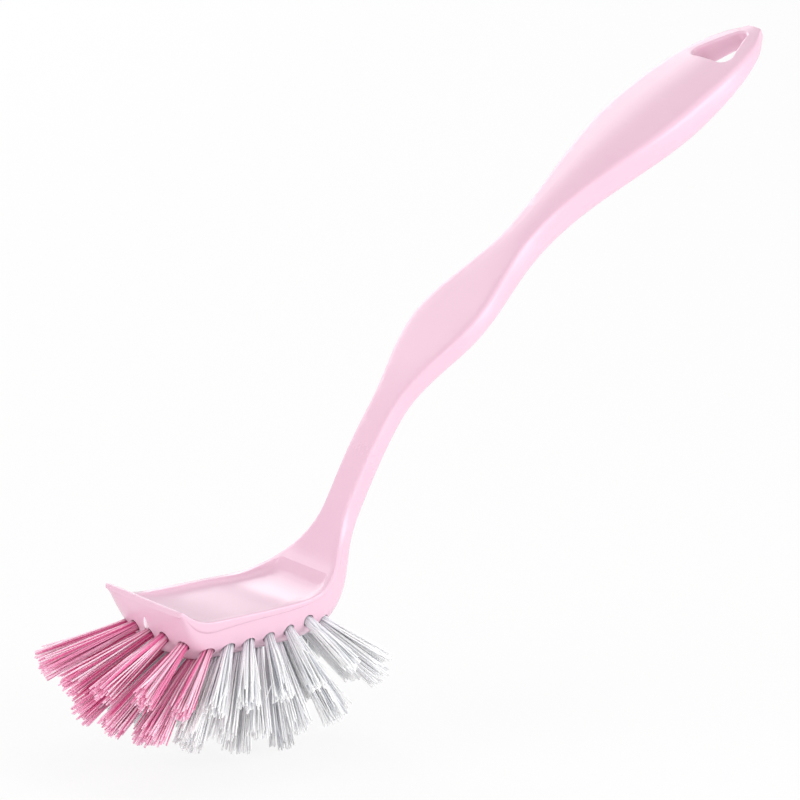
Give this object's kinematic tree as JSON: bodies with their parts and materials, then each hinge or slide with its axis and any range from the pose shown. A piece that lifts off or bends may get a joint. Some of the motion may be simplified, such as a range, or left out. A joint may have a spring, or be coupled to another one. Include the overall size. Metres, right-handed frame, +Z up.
{
  "type": "dish brush",
  "caption": "Dish brush moulded in one piece with a scoop head, scraper lip, bent neck and paddle grip with a hanging hole, and fanned tufts of pink and white bristle under the head.",
  "frame": {"origin": "under the middle of the whole brush, at the level of the lowest bristle tips", "axes": "+X from the scraper lip to the end of the grip, +Y across the head, +Z up from the bristles, with the rims of the head level"},
  "size_m": [0.2844, 0.079, 0.2127],
  "materials": {
    "body_plastic": "satin-gloss moulded polypropylene, pale pink",
    "pink_bristle": "straight polyester filament, pink",
    "white_bristle": "straight polyester filament, white",
    "anchor_wire": "flat drawn wire"
  },
  "bodies": {
    "root": {"brush_body": "body_plastic", "tuft_anchors": "anchor_wire", "tuft_pink_01": "pink_bristle", "tuft_pink_02": "pink_bristle", "tuft_pink_03": "pink_bristle", "tuft_pink_04": "pink_bristle", "tuft_pink_05": "pink_bristle", "tuft_pink_06": "pink_bristle", "tuft_pink_07": "pink_bristle", "tuft_pink_08": "pink_bristle", "tuft_pink_09": "pink_bristle", "tuft_pink_10": "pink_bristle", "tuft_pink_11": "pink_bristle", "tuft_pink_12": "pink_bristle", "tuft_pink_13": "pink_bristle", "tuft_white_01": "white_bristle", "tuft_white_02": "white_bristle", "tuft_white_03": "white_bristle", "tuft_white_04": "white_bristle", "tuft_white_05": "white_bristle", "tuft_white_06": "white_bristle", "tuft_white_07": "white_bristle", "tuft_white_08": "white_bristle", "tuft_white_09": "white_bristle", "tuft_white_10": "white_bristle", "tuft_white_11": "white_bristle", "tuft_white_12": "white_bristle", "tuft_white_13": "white_bristle", "tuft_white_14": "white_bristle", "tuft_white_15": "white_bristle", "tuft_white_16": "white_bristle", "tuft_white_17": "white_bristle", "tuft_white_18": "white_bristle", "tuft_white_19": "white_bristle", "tuft_white_20": "white_bristle", "tuft_white_21": "white_bristle", "tuft_white_22": "white_bristle", "tuft_white_23": "white_bristle", "tuft_white_24": "white_bristle", "tuft_white_25": "white_bristle", "tuft_white_26": "white_bristle", "tuft_white_27": "white_bristle", "tuft_white_28": "white_bristle", "tuft_white_29": "white_bristle", "tuft_white_30": "white_bristle", "tuft_white_31": "white_bristle", "tuft_white_32": "white_bristle", "tuft_white_33": "white_bristle"}
  },
  "joints": []
}
